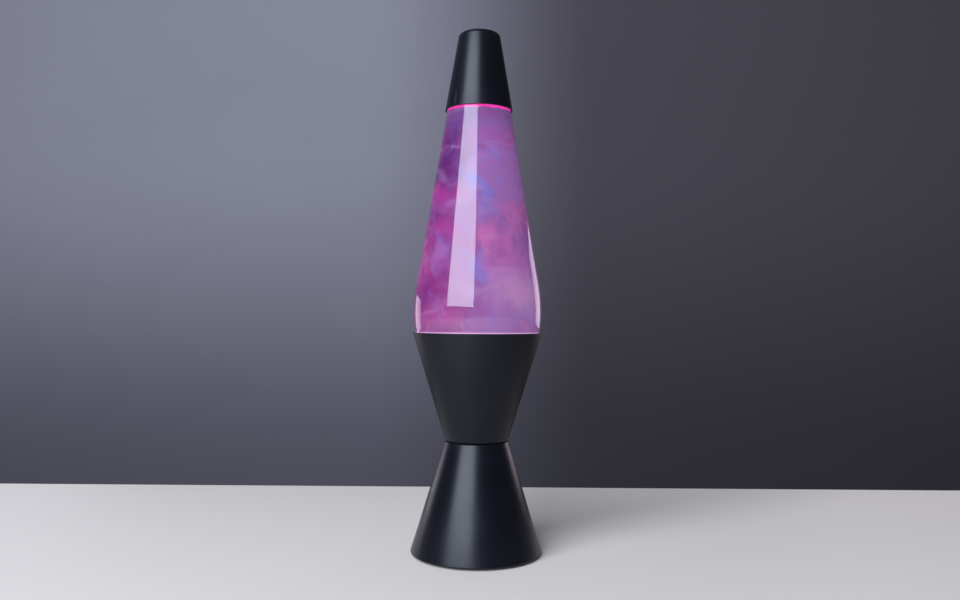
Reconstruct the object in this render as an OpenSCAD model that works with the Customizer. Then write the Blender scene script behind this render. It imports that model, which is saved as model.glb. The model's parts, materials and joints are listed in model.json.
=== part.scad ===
// Table lamp with a tapered glass globe of swirling liquid between a cap and a two-cone metal base.
// Millimetres. +Z is up, and the origin is the centre of the face that the feet stand on.
// Every outline is a list of [radius, height] points, turned about Z.

/* [Overall] */
// Height from the table to the top of the cap
lamp_h = 368; // [340:1:450]
// Height of the waist above the table
foot_h = 79.8; // [79:0.2:100]
// Height of the cup, from the waist to its rim
cup_h = 76.2; // [70:0.2:95]
// Height of the cap
cap_h = 55; // [50:1:66]

/* [Base] */
// Diameter of the lower cone at the table
foot_d = 93; // [84:0.1:120]
// Diameter of both cones at the waist
waist_d = 44.4; // [44:0.1:54]
// Diameter of the cup at its rim
cup_d = 91.2; // [86:0.2:110]
// Thickness of the spun metal
metal_t = 0.9; // [0.6:0.1:1.2]
// Diameter of the hole through the waist, for the bulb's neck
waist_bore_d = 31; // [30:0.5:33]
// Height of the hem above the table
foot_gap = 1.5; // [1:0.1:3]
// Width of the rolled hem, and of the ledge inside it
hem_w = 3.2; // [2.8:0.1:4]
ledge_w = 4.8; // [3:0.1:6]

/* [Cap] */
// Diameter of the cap at its lower edge and at its top corner
cap_edge_d = 47.8; // [46.8:0.1:49]
cap_top_d = 28.8; // [28.6:0.1:32]
// Thickness of the cap's metal, and the round of its top corner
cap_t = 0.8; // [0.5:0.1:1]
cap_round = 2.8; // [1.5:0.1:4]

/* [Globe] */
// Widest diameter of the glass
glass_d = 90.6; // [85:0.1:100]
// Thickness of the glass
glass_t = 3; // [2:0.1:3.6]
// Curve of the belly above and below its widest place
belly_over_r = 136; // [110:1:160]
belly_under_r = 69; // [64:1:90]
// Gap between the glass and the cup that it stands in, and between the cap and the glass
seat_clear = 0.25; // [0.15:0.05:0.5]
cap_clear = 0.5; // [0.2:0.05:0.7]
// Diameter of the neck, and of the bead that the crown grips
neck_d = 23.6; // [22:0.2:24]
bead_d = 26.4; // [25:0.2:27]
// Height of the bead
bead_h = 4.6; // [4:0.1:6]
// Free height between the crown and the top of the cap
crown_gap = 10; // [6:0.5:14]
// Depth of the air above the liquid, down from the mouth
air_h = 26; // [20:1:36]

/* [Crown] */
// Thickness of the crown's steel and of its liner
crown_t = 0.3; // [0.2:0.05:0.4]
liner_t = 0.8; // [0.5:0.1:1.2]
// Number of flutes round the skirt
crown_flutes = 21; // [15:1:27]

/* [Bulb] */
// Diameter and length of the reflector bulb
bulb_d = 39; // [36:0.5:39.5]
bulb_len = 67; // [65:0.5:70]
// Thickness of its glass
bulb_t = 0.7; // [0.5:0.1:1]
// Depth of the bulb's tip below the waist
bulb_drop = 40.8; // [38:0.2:41]
// Mean radius, half depth and lead of the cap's round thread
thread_r = 6.55; // [6.5:0.05:6.7]
thread_amp = 0.38; // [0.3:0.02:0.4]
thread_lead = 2.82; // [2.5:0.01:2.9]
// Turns that take the bulb out of its holder
bulb_turns = 3; // [2:1:3]
// Free height left between the unscrewed bulb and the globe
bulb_gap = 1.5; // [1:0.5:6]

/* [Lampholder] */
// Diameter of the holder's body
holder_d = 27; // [25:0.5:28]
// Radial gap between the bulb's thread and the holder's
thread_clear = 0.25; // [0.22:0.01:0.3]
// Outer and inner diameter of the hollow screw under the holder
nipple_d = 9.9; // [9.5:0.1:10.5]
nipple_bore_d = 7.6; // [7:0.1:8]

/* [Bracket] */
// Thickness of its sheet, and width of its legs
bracket_t = 1.2; // [1:0.1:1.5]
leg_w = 12; // [10:0.5:14]
// Free gap between the holder and each leg
leg_clear = 1.7; // [1.2:0.1:2]
// Shank and head diameter of the small screws
screw_d = 3; // [2.5:0.1:3.2]
screw_head_d = 5; // [4.5:0.1:5.2]

/* [Underside] */
// Thickness of the bottom cover, and its gap to the hem
cover_t = 2.1; // [1.6:0.1:3]
cover_clear = 0.25; // [0.15:0.05:0.5]
// Diameter of the pillars that the cover's screws pass through
pillar_d = 7.4; // [6.5:0.1:8]
// Distance of each pillar from the middle
pillar_x = 12.2; // [12:0.1:13]
// Diameter of a rubber foot, and the depth of its pocket
foot_pad_d = 10; // [8:0.5:12]
pad_pocket = 0.6; // [0.4:0.1:1]
// Diameter of the vent holes, and of the circle that they lie on
vent_d = 4; // [3:0.5:5]
vent_ring_d = 54; // [50:1:60]

/* [Cord entry] */
// Height of the cord bushing's middle
bushing_z = 16; // [14:0.5:24]
// Diameter of its bore, of its body and of its flange
cord_bore_d = 7.2; // [6:0.1:8]
bushing_d = 11.6; // [10.5:0.1:13]
bushing_flange_d = 15; // [14:0.5:18]
// Thickness of the flange, and the length of the body inside the wall
bushing_flange_t = 2; // [1.5:0.1:3]
bushing_inner_l = 6; // [4:0.5:8]

/* [Wiring] */
// Size of the terminal block, across the poles, along the wires and up
block_w = 25; // [24:0.5:27]
block_l = 16; // [14:0.5:18]
block_h = 12; // [11:0.5:13]
// Distance from the lamp's axis to the block's near side
block_y = 13.5; // [12:0.5:15]
// Diameter of an insulated lead
lead_d = 2; // [1.6:0.1:2.2]

/* [Hidden] */
$fn = 72;

// Heights and radii that the pieces share
base_h = foot_h + cup_h;
cap_edge_z = lamp_h - cap_h;
waist_r = waist_d / 2;
waist_bore_r = waist_bore_d / 2;
foot_r = foot_d / 2;
cup_r = cup_d / 2;
glass_r = glass_d / 2;

// Angle of each cone's wall from upright
foot_angle = atan((foot_r - waist_r) / (foot_h - foot_gap));
cup_angle = atan((cup_r - waist_r) / cup_h);
cap_angle = atan((cap_edge_d - cap_top_d) / 2 / cap_h);

// Rings that hold the waist screws: the radius of their circle, and what they clamp
waist_inner_r = waist_r - metal_t / cos(foot_angle);
waist_screw_r = (waist_bore_r + waist_inner_r) / 2;
ring_z = foot_h - metal_t - bracket_t;
ring_r = waist_inner_r - 0.3;
WAIST_SCREW_ANGLES = [45, 135, 225, 315];

// The bulb's place: every bulb height is counted up from its tip
tip_z = foot_h - bulb_drop;
bulb_travel = bulb_turns * thread_lead;
bulb_top_z = tip_z + bulb_len;
thread_low = 4.3;
thread_high = 20;
bulb_skirt_h = 25;
thread_fade = 2;
bulb_metal_t = 0.3;
cap_neck_r = thread_r - thread_amp;
bulb_neck_r = cap_neck_r - bulb_metal_t - 0.1;

// The lampholder's heights
holder_rim_z = tip_z + 24;
holder_floor_z = tip_z - 4;
holder_bottom_z = tip_z - 8;
bar_z = tip_z - 21;
bar_top_z = bar_z + bracket_t;
shell_t = 0.4;
shell_top_z = tip_z + 18.5;
shell_bore_r = thread_r + thread_amp + thread_clear + shell_t + 0.12;
holder_wall = 2;
leg_x = holder_d / 2 + leg_clear;

// The hem's inner corner and the ledge that the cover is pulled against
hem_inner_r = foot_r - hem_w;
ledge_r = hem_inner_r - ledge_w;
ledge_z = foot_gap + 2.1;
cover_r = hem_inner_r - cover_clear;
cover_z = ledge_z - cover_t;
pad_ring_r = cover_r - foot_pad_d / 2 - 1.2;
PAD_ANGLES = [45, 135, 225, 315];

// The globe's outline, from the way that it rests in the cup
cup_inner_rim_r = cup_r - metal_t / cos(cup_angle);
under_centre_r = glass_r - belly_under_r;
over_centre_r = glass_r - belly_over_r;
belly_z = base_h - (cup_inner_rim_r - under_centre_r - (belly_under_r + seat_clear) / cos(cup_angle))
    / tan(cup_angle);
heel_angle = cup_angle + 7;
globe_low_z = bulb_top_z + bulb_travel + bulb_gap;
punt_h = 3;
heel_round = 6;
under_end = [under_centre_r + belly_under_r * cos(heel_angle), belly_z - belly_under_r * sin(heel_angle)];
heel_r = under_end[0] - (under_end[1] - globe_low_z) * tan(heel_angle);
glass_top_r = cap_edge_d / 2 - cap_t / cos(cap_angle) - cap_clear;
over_centre = [over_centre_r, belly_z];
to_top = [glass_top_r, cap_edge_z] - over_centre;
over_angle = atan2(to_top[1], to_top[0]) - acos(belly_over_r / norm(to_top));
over_end = over_centre + belly_over_r * [cos(over_angle), sin(over_angle)];
taper = (over_end[0] - glass_top_r) / (cap_edge_z - over_end[1]);

// The neck and the mouth
crown_top_z = lamp_h - cap_t - crown_gap;
mouth_z = crown_top_z - crown_t - liner_t;
neck_r = neck_d / 2;
bead_r = bead_d / 2;
shoulder_z = mouth_z - 21;
neck_z = mouth_z - 12;
// Inside the cap the glass tapers at least as fast as the cap does
shoulder_r = glass_top_r - (shoulder_z - cap_edge_z) * max(taper, tan(cap_angle));
liquid_z = mouth_z - air_h;

// The terminal block and the wires' heights
block_z = ledge_z;
pole_gap = 8;
wire_z = block_z + 4.2;
lead_r = lead_d / 2;

// Points of the three leads, from the terminal block to where each one ends
LIVE_ROUTE = [[pole_gap, block_y, wire_z], [pole_gap - 0.2, block_y - 3, wire_z], [5, 5, wire_z - 0.8],
    [2.4, 0.8, wire_z + 0.8], [1.8, 0, wire_z + 4], [1.8, 0, bar_top_z + 0.5], [2.1, 0, bar_top_z + 3.2],
    [4.5, 0, holder_bottom_z - 6], [5, 0, holder_bottom_z - 4.15]];
NEUTRAL_ROUTE = [for (p = LIVE_ROUTE) [-p[0], p[1], p[2]]];
earth_z = bar_z + 36;
tag_t = 0.6;
earth_x = leg_x + bracket_t;
EARTH_ROUTE = [[0, block_y, wire_z], [0.2, block_y - 3, wire_z], [2, 9, wire_z + 2.6],
    [6.5, 9.2, wire_z + 4], [11.5, 10.4, wire_z + 6], [earth_x, 11, bar_z + 6],
    [earth_x + 2.4, 10, bar_z + 16], [earth_x + 1.8, 8, earth_z - 11], [earth_x + 0.6, 6.8, earth_z - 7.6]];

// ---------------------------------------------------------------- outlines

function unit(v) = v / norm(v);
function turned(v) = [for (i = [len(v) - 1:-1:0]) v[i]];
function arc(centre, r, from, to, n = 12) =
    [for (i = [0:n]) let (a = from + (to - from) * i / n) centre + r * [cos(a), sin(a)]];

// Corners [radius, height, round], with each round corner drawn as an arc
function rounded(c, n = 7) = [for (i = [0:len(c) - 1])
    let (p = [c[i][0], c[i][1]])
    each (i == 0 || i == len(c) - 1 || is_undef(c[i][2])) ? [p]
        : let (a = unit([c[i - 1][0], c[i - 1][1]] - p),
               b = unit([c[i + 1][0], c[i + 1][1]] - p),
               half = acos(a * b) / 2,
               centre = p + unit(a + b) * c[i][2] / sin(half),
               first = p + a * c[i][2] / tan(half) - centre,
               last = p + b * c[i][2] / tan(half) - centre,
               from = atan2(first[1], first[0]),
               sweep = atan2(last[1], last[0]) - from,
               short = sweep > 180 ? sweep - 360 : sweep < -180 ? sweep + 360 : sweep)
            arc(centre, c[i][2], from, from + short, n)];

// An outline moved sideways by t, to the right of the way it runs
function right_of(a, b) = let (d = unit(b - a)) [d[1], -d[0]];
function beside(p, t) = [for (i = [0:len(p) - 1])
    let (j = max(i - 1, 0), k = min(i, len(p) - 2),
         n1 = right_of(p[j], p[j + 1]), n2 = right_of(p[k], p[k + 1]))
    p[i] + t * (n1 + n2) / (1 + n1 * n2)];
function sheet(p, t) = concat(p, turned(beside(p, t)));

module revolve(points) { rotate_extrude() polygon(points); }

module rod(from, to, r) {
    d = to - from;
    translate(from)
        rotate([0, acos(d[2] / norm(d)), atan2(d[1], d[0])])
            cylinder(r = r, h = norm(d));
}

module ring(outer_r, inner_r, h) {
    difference() {
        cylinder(r = outer_r, h = h);
        translate([0, 0, -1]) cylinder(r = inner_r, h = h + 2);
    }
}

// ---------------------------------------------------------------- wires

// A smooth curve through a list of points
function between(a, b, c, d, t) = 0.5 * (2 * b + (c - a) * t + (2 * a - 5 * b + 4 * c - d) * t * t
    + (3 * b - a - 3 * c + d) * t * t * t);
function curve(p, steps = 4) = concat([for (i = [0:len(p) - 2], s = [0:steps - 1])
    between(p[max(i - 1, 0)], p[i], p[i + 1], p[min(i + 2, len(p) - 1)], s / steps)],
    [p[len(p) - 1]]);

// A round wire along a list of points that never runs along X
module wire(route, r, sides = 8) {
    path = curve(route);
    last = len(path) - 1;
    points = [for (i = [0:last])
        let (along = unit(path[min(i + 1, last)] - path[max(i - 1, 0)]),
             across = unit(cross(along, [1, 0, 0])),
             up = cross(across, along))
        for (k = [0:sides - 1]) path[i] + r * (cos(360 * k / sides) * across + sin(360 * k / sides) * up)];
    walls = [for (i = [0:last - 1], k = [0:sides - 1])
        let (a = i * sides + k, b = i * sides + (k + 1) % sides)
        each [[a, b, b + sides], [a, b + sides, a + sides]]];
    ends = concat([for (k = [1:sides - 2]) [0, k + 1, k]],
        [for (k = [1:sides - 2]) [last * sides, last * sides + k, last * sides + k + 1]]);
    polyhedron(points, concat(walls, ends));
}

// ---------------------------------------------------------------- round thread

// How fully the thread is formed at a height above the bulb's tip, from 0 to 1
function formed(h, low, high) = max(0, min(1, min((h - low) / thread_fade, (high - h) / thread_fade)));
function ridge(a, h) = cos(360 * h / thread_lead - a);
// Heights from low to high, a sixth of the thread's lead apart
function rows(low, high) = let (n = round((high - low) / thread_lead * 6))
    [for (i = [0:n]) low + (high - low) * i / n];
function flare(h) = let (t = max(0, min(1, (h - thread_high) / (bulb_skirt_h - 1 - thread_high))))
    t * t * (3 - 2 * t);

// The bulb's thread keeps to its small radius where it runs out, and the holder's to its large one
function bulb_thread_r(a, h) = thread_r - thread_amp
    + thread_amp * formed(h, thread_low, thread_high) * (1 + ridge(a, h)) + 2.4 * flare(h);
function holder_thread_r(a, h) = thread_r + thread_amp + thread_clear
    - thread_amp * formed(h, 2.6, 19) * (1 - ridge(a, h));

// A thin tube whose outer and inner radius follow functions of angle and height
module threaded_tube(heights, outer, inner, sides = 16) {
    n = len(heights);
    grid = function (f) [for (h = heights, k = [0:sides - 1])
        let (a = 360 * k / sides, r = f(a, h)) [r * cos(a), r * sin(a), h]];
    skin = n * sides;
    quads = [for (i = [0:n - 2], k = [0:sides - 1])
        [i * sides + k, i * sides + (k + 1) % sides, (i + 1) * sides + (k + 1) % sides, (i + 1) * sides + k]];
    outside = [for (q = quads) each [[q[0], q[2], q[1]], [q[0], q[3], q[2]]]];
    inside = [for (q = quads) each [[q[0], q[1], q[2]] + [1, 1, 1] * skin, [q[0], q[2], q[3]] + [1, 1, 1] * skin]];
    top = (n - 1) * sides;
    rims = [for (k = [0:sides - 1]) let (m = (k + 1) % sides)
        each [[k, m, m + skin], [k, m + skin, k + skin],
              [top + k, top + m + skin, top + m], [top + k, top + k + skin, top + m + skin]]];
    polyhedron(concat(grid(outer), grid(inner)), concat(outside, inside, rims));
}

// ---------------------------------------------------------------- base

// Spun foot with a rolled hem, and a ledge inside the hem for the bottom cover
module lower_cone() {
    outline = rounded([[waist_bore_r, foot_h], [waist_r + 0.1, foot_h, 1.1], [foot_r, foot_gap, 1.3],
        [hem_inner_r, foot_gap, 1.2], [hem_inner_r, ledge_z, 0.3], [ledge_r, ledge_z]]);
    color("#16181c") difference() {
        revolve(sheet(outline, metal_t));
        waist_screw_holes();
        at_bushing() translate([0, 0, -6]) cylinder(d = bushing_d + 0.4, h = 12);
    }
}

// Spun cup that the globe stands in
module upper_cone() {
    outline = rounded([[waist_bore_r, foot_h], [waist_r, foot_h, 2], [cup_r, base_h]]);
    color("#1c1e22") difference() {
        revolve(sheet(outline, -metal_t));
        waist_screw_holes();
    }
}

module waist_screw_holes() {
    for (a = WAIST_SCREW_ANGLES)
        rotate(a) translate([waist_screw_r, 0, foot_h - 5]) cylinder(d = screw_d + 0.3, h = 10);
}

// A ring under the waist, two legs and the bar that carries the lampholder
module lamp_bracket() {
    color("#b8bcc0") difference() {
        union() {
            translate([0, 0, ring_z]) ring(ring_r, waist_bore_r, bracket_t);
            for (s = [-1, 1])
                translate([s * (leg_x + bracket_t / 2) - bracket_t / 2, -leg_w / 2, bar_z])
                    cube([bracket_t, leg_w, ring_z - bar_z + bracket_t]);
            translate([-leg_x - bracket_t, -leg_w / 2, bar_z]) cube([2 * (leg_x + bracket_t), leg_w, bracket_t]);
        }
        for (a = WAIST_SCREW_ANGLES)
            rotate(a) translate([waist_screw_r, 0, ring_z - 1]) cylinder(d = screw_d + 0.3, h = bracket_t + 2);
        translate([0, 0, bar_z - 1]) cylinder(d = nipple_d + 0.3, h = bracket_t + 2);
        for (s = [-1, 1]) translate([s * pillar_x, 0, bar_z - 1]) cylinder(d = screw_d + 0.1, h = bracket_t + 2);
        translate([leg_x - 1, 0, earth_z]) rotate([0, 90, 0]) cylinder(d = screw_d + 0.1, h = bracket_t + 2);
    }
}

// Pan-head screw, head up, with the underside of its head at z 0
module pan_screw(length, head_h = 1.8) {
    difference() {
        union() {
            translate([0, 0, -length]) cylinder(d = screw_d, h = length);
            cylinder(d = screw_head_d, h = head_h * 0.6);
            translate([0, 0, head_h * 0.6]) cylinder(d1 = screw_head_d, d2 = screw_head_d * 0.62, h = head_h * 0.4);
        }
        for (a = [0, 90]) rotate(a) translate([-1.3, -0.3, head_h - 1]) cube([2.6, 0.6, 2]);
    }
}

module waist_screws() {
    color("#a9adb2") for (a = WAIST_SCREW_ANGLES)
        rotate(a) translate([waist_screw_r, 0, foot_h + metal_t])
            pan_screw(2 * metal_t + bracket_t + 3.2);
}

module waist_nuts() {
    color("#a9adb2") for (a = WAIST_SCREW_ANGLES)
        rotate(a) translate([waist_screw_r, 0, ring_z - 2.2]) difference() {
            rotate(30) cylinder(d = 5.4, h = 2.2, $fn = 6);
            translate([0, 0, -1]) cylinder(d = screw_d + 0.1, h = 5);
        }
}

// ---------------------------------------------------------------- lampholder

module lampholder_body() {
    r = holder_d / 2;
    color("#ecebe6") difference() {
        revolve(rounded([[shell_bore_r, holder_floor_z], [0, holder_floor_z], [0, holder_bottom_z],
            [r, holder_bottom_z, 0.5], [r, holder_rim_z, 1.2], [9.8, holder_rim_z, 0.6],
            [9.8, shell_top_z], [shell_bore_r, shell_top_z], [shell_bore_r, holder_floor_z]]));
        for (s = [-1, 1]) translate([s * 5, 0, holder_bottom_z - 1]) cylinder(d = 2.4, h = 6);
    }
}

// Lower half of the holder: a bell that houses the terminals and screws onto the hollow screw
module lampholder_housing() {
    r = holder_d / 2;
    outline = rounded([[nipple_d / 2 + 0.1, bar_top_z], [8, bar_top_z, 2.6], [r, bar_top_z + 6, 3],
        [r, holder_bottom_z - 0.1]]);
    color("#e2e1db") revolve(sheet(outline, -holder_wall));
}

module lampholder_shell() {
    heights = concat([holder_floor_z - tip_z], rows(2.6, shell_top_z - tip_z));
    color("#c9a455") translate([0, 0, tip_z])
        threaded_tube(heights, function (a, h) holder_thread_r(a, h) + shell_t,
            function (a, h) holder_thread_r(a, h));
}

// Spring tongue under the bulb's tip
module lampholder_tongue() {
    tongue_w = 4;
    path = rounded([[5.6, -4], [1.6, -4, 0.8], [-2.6, -0.1, 0.6], [1.8, -0.1]]);
    color("#c9a455") translate([0, tongue_w / 2, tip_z]) rotate([90, 0, 0])
        linear_extrude(tongue_w) polygon(sheet(path, 0.4));
}

module lampholder_terminals() {
    color("#c9a455") for (s = [-1, 1])
        translate([s * 5, 0, holder_bottom_z - 4]) difference() {
            translate([-1.8, -1.8, 0]) cube([3.6, 3.6, 4]);
            translate([0, 0, 2]) rotate([90, 0, 0]) cylinder(d = 2.1, h = 6, center = true);
        }
}

module terminal_screws() {
    color("#a9adb2") for (s = [-1, 1])
        translate([s * 5, -3.2, holder_bottom_z - 2]) rotate([-90, 0, 0]) difference() {
            union() {
                cylinder(d = 3.2, h = 1.2);
                cylinder(d = 2, h = 4.4);
            }
            translate([-2, -0.25, -0.1]) cube([4, 0.5, 0.6]);
        }
}

module hollow_screw() {
    color("#b8bcc0") translate([0, 0, bar_z - 6]) ring(nipple_d / 2, nipple_bore_d / 2, 6 + bracket_t + 3.5);
}

module star_washer() {
    color("#a9adb2") translate([0, 0, bar_z - 0.6]) difference() {
        union() {
            cylinder(r = 7, h = 0.6);
            for (a = [0:30:330]) rotate(a) translate([6, -0.7, 0]) cube([2, 1.4, 0.6]);
        }
        translate([0, 0, -1]) cylinder(d = nipple_d + 0.3, h = 3);
    }
}

module hollow_screw_nut() {
    color("#b8bcc0") translate([0, 0, bar_z - 3.6]) difference() {
        cylinder(d = 16, h = 3, $fn = 6);
        translate([0, 0, -1]) cylinder(d = nipple_d + 0.1, h = 5);
    }
}

// ---------------------------------------------------------------- wiring

module live_lead() { color("#6b4226") wire(LIVE_ROUTE, lead_r); }
module neutral_lead() { color("#2f5fa8") wire(NEUTRAL_ROUTE, lead_r); }
module earth_lead() { color("#7fae2c") wire(EARTH_ROUTE, lead_r); }

module earth_tag() {
    color("#c8ccd0") translate([earth_x, 0, earth_z]) rotate([0, 90, 0]) {
        ring(3.4, screw_d / 2 + 0.2, tag_t);
        difference() {
            translate([3.2, 3.2 - 4.4, 0]) rotate(55) translate([-1.2, -1.4, 0]) cube([8, 2.8, tag_t]);
            translate([0, 0, -1]) cylinder(r = 3.4, h = tag_t + 2);
        }
    }
}

module earth_screw() {
    color("#c9a455") translate([earth_x + tag_t, 0, earth_z]) rotate([0, 90, 0]) pan_screw(tag_t + bracket_t + 0.9);
}

module at_poles() { for (x = [-pole_gap, 0, pole_gap]) translate([x, 0, 0]) children(); }

module terminal_block() {
    color("#f0efe9") difference() {
        union() {
            translate([-block_w / 2, block_y, block_z]) cube([block_w, block_l, block_h * 0.62]);
            at_poles() translate([-2.9, block_y + 1, block_z]) cube([5.8, block_l - 2, block_h]);
        }
        at_poles() {
            translate([0, block_y - 1, wire_z]) rotate([-90, 0, 0]) cylinder(d = 4.2, h = block_l + 2);
            for (y = [4.2, block_l - 4.2])
                translate([0, block_y + y, wire_z]) cylinder(d = 3, h = block_h);
        }
        for (s = [-1, 1]) translate([s * pole_gap / 2, block_y + block_l / 2, block_z - 1])
            cylinder(d = 2.4, h = block_h + 2);
    }
}

module block_tubes() {
    color("#c9a455") at_poles() translate([0, block_y + 1.5, wire_z]) rotate([-90, 0, 0]) difference() {
        cylinder(d = 4.1, h = block_l - 3);
        translate([0, 0, -1]) cylinder(d = 2.8, h = block_l);
        for (y = [2.7, block_l - 5.7]) translate([0, 0, y]) rotate([90, 0, 0]) cylinder(d = 2.6, h = 4);
    }
}

module block_screws() {
    color("#a9adb2") at_poles() for (y = [4.2, block_l - 4.2])
        translate([0, block_y + y, wire_z + 0.6]) difference() {
            cylinder(d = 2.5, h = 5.2);
            translate([-2, -0.25, 4.6]) cube([4, 0.5, 2]);
        }
}

// Self-tapping screw that holds the block to the cover
module block_fixing_screw() {
    color("#a9adb2") translate([pole_gap / 2, block_y + block_l / 2, block_z + block_h * 0.62]) difference() {
        union() {
            translate([0, 0, -block_h * 0.62 - 1.6]) cylinder(d = 2.2, h = block_h * 0.62 + 1.6);
            cylinder(d = 2.2, h = 0.4);
            cylinder(d1 = 2.2, d2 = 1.6, h = 0.9);
        }
        translate([-2, -0.2, 0.5]) cube([4, 0.4, 2]);
    }
}

// ---------------------------------------------------------------- cord entry

bushing_r = foot_r - (bushing_z - foot_gap) * tan(foot_angle);

// Places its children at the back of the lower cone, with Z square to the wall and 0 on its outside
module at_bushing() {
    translate([0, bushing_r, bushing_z]) rotate([-90 + foot_angle, 0, 0]) children();
}

// Snap-in bushing that a cord passes through
module cord_bushing() {
    grip = metal_t + 1.1;
    body_r = bushing_d / 2;
    color("#131417") at_bushing() revolve(rounded([[cord_bore_d / 2, -bushing_inner_l, 0.4],
        [body_r - 0.8, -bushing_inner_l, 0.4], [body_r + 0.7, -grip - 1, 0.2], [body_r + 0.7, -grip],
        [body_r, -grip], [body_r, 0], [bushing_flange_d / 2, 0],
        [bushing_flange_d / 2, bushing_flange_t * 0.5, 0.4], [bushing_flange_d / 2 - 1.4, bushing_flange_t, 0.5],
        [cord_bore_d / 2, bushing_flange_t], [cord_bore_d / 2, -bushing_inner_l]]));
}

// ---------------------------------------------------------------- underside

module bottom_cover() {
    vents = [for (a = [150:20:390]) a];
    color("#1a1b1d") difference() {
        union() {
            translate([0, 0, cover_z]) cylinder(r = cover_r, h = cover_t);
            for (s = [-1, 1]) translate([s * pillar_x, 0, cover_z]) cylinder(d = pillar_d, h = bar_z - cover_z);
        }
        for (s = [-1, 1]) translate([s * pillar_x, 0, cover_z - 1]) {
            cylinder(d = screw_d + 0.4, h = bar_z);
            cylinder(d = screw_head_d + 0.5, h = 4.4);
        }
        for (a = vents) rotate(a) translate([vent_ring_d / 2, 0, cover_z - 1]) cylinder(d = vent_d, h = cover_t + 2);
        for (a = PAD_ANGLES) rotate(a) translate([pad_ring_r, 0, cover_z - 1])
            cylinder(d = foot_pad_d + 0.3, h = 1 + pad_pocket);
        translate([pole_gap / 2, block_y + block_l / 2, cover_z + 0.4]) cylinder(d = 2.3, h = cover_t);
    }
}

module cover_screws() {
    head_z = cover_z + 3.4;
    color("#a9adb2") for (s = [-1, 1])
        translate([s * pillar_x, 0, head_z]) rotate([180, 0, 0]) pan_screw(bar_top_z + 1.2 - head_z);
}

module rubber_foot(i) {
    color("#2b2b2b") rotate(PAD_ANGLES[i]) translate([pad_ring_r, 0, 0])
        revolve(rounded([[0, 0], [foot_pad_d / 2, 0, 0.5], [foot_pad_d / 2, cover_z + pad_pocket],
            [0, cover_z + pad_pocket]], 4));
}

// ---------------------------------------------------------------- globe

// Outside of the glass from the middle of its bottom to the top of its neck, without the bead
function glass_outline() = concat(
    rounded([[0, globe_low_z + punt_h], [heel_r * 0.5, globe_low_z + punt_h, 8],
        [heel_r * 0.74, globe_low_z, 3], [heel_r, globe_low_z, heel_round], under_end]),
    [for (p = arc([under_centre_r, belly_z], belly_under_r, -heel_angle, 0, 16)) if (p[1] > under_end[1] + 0.1) p],
    [for (p = arc(over_centre, belly_over_r, 0, over_angle, 8)) if (p[1] > belly_z + 0.1) p],
    rounded([over_end + [-0.1 * taper, 0.1], [glass_top_r, cap_edge_z], [shoulder_r, shoulder_z, 8], [neck_r, neck_z, 4],
        [neck_r, mouth_z]]));

module globe() {
    outside = glass_outline();
    inside = beside(outside, -glass_t);
    bead = rounded([[neck_r - 1, mouth_z - bead_h], [bead_r, mouth_z - bead_h, 0.6], [bead_r, mouth_z, 1.6],
        [neck_r - glass_t, mouth_z]]);
    color("#d9c6e8", 0.4) union() {
        revolve(concat(outside, turned(inside)));
        revolve(concat(bead, [[neck_r - 1, mouth_z - 0.01]]));
    }
}

// Everything inside the glass up to the liquid's surface
module liquid() {
    inside = beside(glass_outline(), -glass_t - 0.01);
    color("#a05fb0") intersection() {
        revolve(concat(inside, [[0, mouth_z]]));
        translate([0, 0, globe_low_z]) cylinder(r = glass_r, h = liquid_z - globe_low_z);
    }
}

module crown_liner() {
    color("#dcdcd8") translate([0, 0, mouth_z]) cylinder(r = bead_r - 1.2, h = liner_t);
}

// Crimped steel crown with a fluted skirt
module crown_cap() {
    skirt_r = bead_r + 0.15;
    outline = rounded([[0, crown_top_z], [skirt_r + crown_t, crown_top_z, 1.4],
        [skirt_r + crown_t, mouth_z - bead_h * 0.5, 1], [skirt_r + 1.1, mouth_z - bead_h - 0.6]]);
    color("#c9ccd1") difference() {
        revolve(sheet(outline, crown_t));
        for (i = [0:crown_flutes - 1]) rotate(360 * i / crown_flutes)
            translate([skirt_r + 1.5, 0, mouth_z - bead_h - 1]) cylinder(d = 1.5, h = 2.6);
    }
}

// ---------------------------------------------------------------- cap

module top_cap() {
    outline = rounded([[0, lamp_h], [cap_top_d / 2, lamp_h, cap_round], [cap_edge_d / 2, cap_edge_z]]);
    color("#15171b") revolve(sheet(outline, cap_t));
}

// ---------------------------------------------------------------- bulb

// Reflector bulb: a funnel of glass with a domed front
function bulb_outline() = rounded([[bulb_neck_r, 14], [bulb_neck_r, 20.6, 2], [8.05, bulb_skirt_h + 0.1, 3], [bulb_d / 2, bulb_len - 13.5, 6],
    [bulb_d / 2, bulb_len - 3.2, 5], [4, bulb_len, 10], [0, bulb_len]]);

module bulb_glass() {
    color("#e8eaee", 0.5) translate([0, 0, tip_z]) revolve(sheet(bulb_outline(), -bulb_t));
}

module bulb_screw_cap() {
    heights = concat(rows(thread_low, thread_high), [for (i = [1:4]) thread_high + (bulb_skirt_h - thread_high) * i / 4]);
    color("#c4c6c9") translate([0, 0, tip_z])
        threaded_tube(heights, function (a, h) bulb_thread_r(a, h), function (a, h) bulb_thread_r(a, h) - bulb_metal_t);
}

module bulb_insulator() {
    color("#17171a") translate([0, 0, tip_z])
        revolve([[0, 1.2], [3.2, 1.2], [cap_neck_r, thread_low - 0.7], [cap_neck_r, thread_low],
            [bulb_neck_r, thread_low], [bulb_neck_r, thread_low + 1.6], [0, thread_low + 1.6]]);
}

module bulb_tip() {
    color("#b9bcc2") translate([0, 0, tip_z]) revolve([[0, 0], [1.8, 0], [2.6, 0.5], [2.6, 1.2], [0, 1.2]]);
}

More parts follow.
